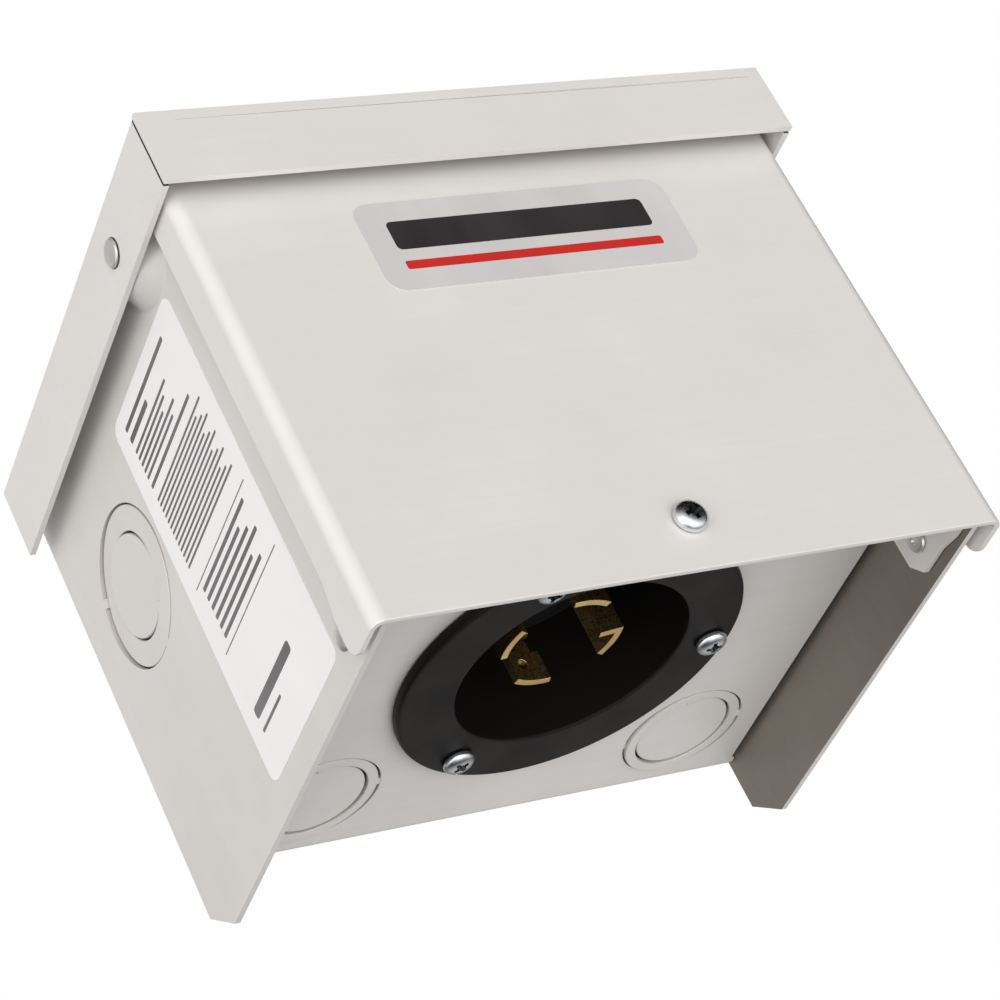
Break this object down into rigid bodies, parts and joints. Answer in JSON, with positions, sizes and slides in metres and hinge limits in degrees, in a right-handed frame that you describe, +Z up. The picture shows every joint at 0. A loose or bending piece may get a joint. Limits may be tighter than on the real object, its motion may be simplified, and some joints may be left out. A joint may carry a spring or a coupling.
{
  "type": "power inlet box",
  "caption": "Raintight folded-aluminium wall box with an overhanging hood, a removable front cover and a flanged locking power inlet facing down.",
  "frame": {"origin": "centre of the flat back face that lies against the wall", "axes": "+Y out of the back face into the wall, -Y towards the front cover, +Z up, +X to the right seen from the front"},
  "size_m": [0.1494, 0.1181, 0.1222],
  "materials": {
    "aluminium_sheet": "brushed",
    "aluminium_rivet": "satin",
    "zinc_screw": "bright zinc",
    "green_screw": "green zinc",
    "brass_contact": "bright",
    "black_nylon": "satin moulded",
    "black_carrier": "matte moulded",
    "white_film": "satin film",
    "silver_film": "satin film"
  },
  "bodies": {
    "box": {"chassis": "aluminium_sheet", "side_wall_left": "aluminium_sheet", "side_wall_right": "aluminium_sheet", "hood": "aluminium_sheet", "hood_rivet_left": "aluminium_rivet", "hood_rivet_right": "aluminium_rivet", "ear_rivet_left": "aluminium_rivet", "ear_rivet_right": "aluminium_rivet", "inlet_housing": "black_nylon", "inlet_screw_1": "zinc_screw", "inlet_screw_2": "zinc_screw", "inlet_screw_3": "zinc_screw", "contact_carrier": "black_carrier", "blade_hot_x": "brass_contact", "blade_hot_y": "brass_contact", "blade_neutral": "brass_contact", "blade_ground": "brass_contact", "terminal_hot_x": "brass_contact", "terminal_hot_y": "brass_contact", "terminal_neutral": "brass_contact", "terminal_ground": "brass_contact", "terminal_screw_hot_x": "zinc_screw", "terminal_screw_hot_y": "zinc_screw", "terminal_screw_neutral": "zinc_screw", "terminal_screw_ground": "green_screw", "ground_lug": "aluminium_rivet", "ground_screw": "green_screw", "side_label": "white_film"},
    "cover": {"front_cover": "aluminium_sheet", "front_badge": "silver_film"},
    "cover_screw": {"cover_screw": "zinc_screw"}
  },
  "joints": [
    {"name": "cover_tilt", "type": "hinge", "parent": "box", "child": "cover", "pos_m": [0, -0.1123, 0.0485], "axis": [-1, 0, 0], "range_deg": [0, 14]},
    {"name": "cover_screw_out", "type": "slide", "parent": "cover", "child": "cover_screw", "axis": [0, -1, 0], "range_m": [0, 0.0065]}
  ]
}
